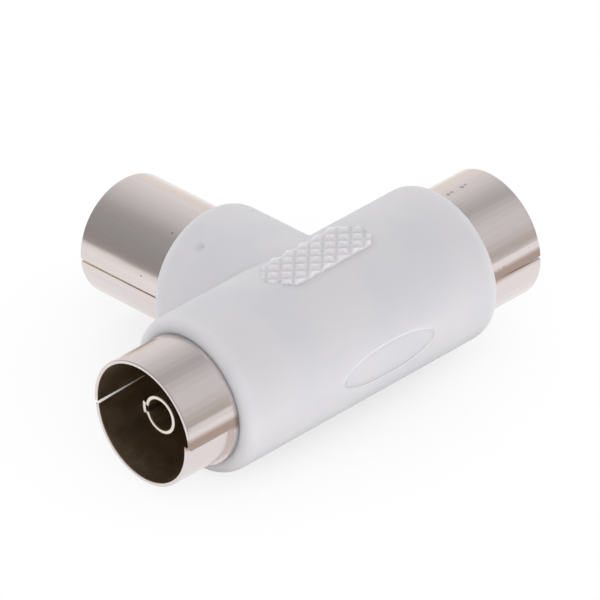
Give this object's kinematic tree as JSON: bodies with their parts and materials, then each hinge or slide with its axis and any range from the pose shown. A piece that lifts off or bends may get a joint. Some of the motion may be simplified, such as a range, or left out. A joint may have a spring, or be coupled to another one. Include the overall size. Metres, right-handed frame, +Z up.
{
  "type": "coaxial splitter",
  "caption": "T-shaped aerial lead splitter: plated sheet sockets at the ends of a white moulded barrel with knurled grips, and a plated plug on its stem.",
  "frame": {"origin": "on the surface that the splitter rests on, under the middle of its box", "axes": "+X along the barrel, towards the longer socket; +Y along the stem, out of the plug; +Z up, square to both"},
  "size_m": [0.0354, 0.0264, 0.0126],
  "materials": {
    "housing_plastic": "moulded, soft semi-matte, pale grey-white",
    "plated_sheet": "satin nickel plate on rolled sheet",
    "bead_plastic": "dark brown insulator, semi-matte",
    "plated_contact": "nickel-plated brass",
    "brass_strip": "plain stamped brass"
  },
  "bodies": {
    "root": {"moulded_housing": "housing_plastic", "shield_upper": "plated_sheet", "shield_lower": "plated_sheet", "bead_left": "bead_plastic", "bead_right": "bead_plastic", "bead_plug": "bead_plastic", "contact_left": "plated_contact", "contact_right": "plated_contact", "plug_pin": "plated_contact", "centre_strip": "brass_strip"}
  },
  "joints": []
}
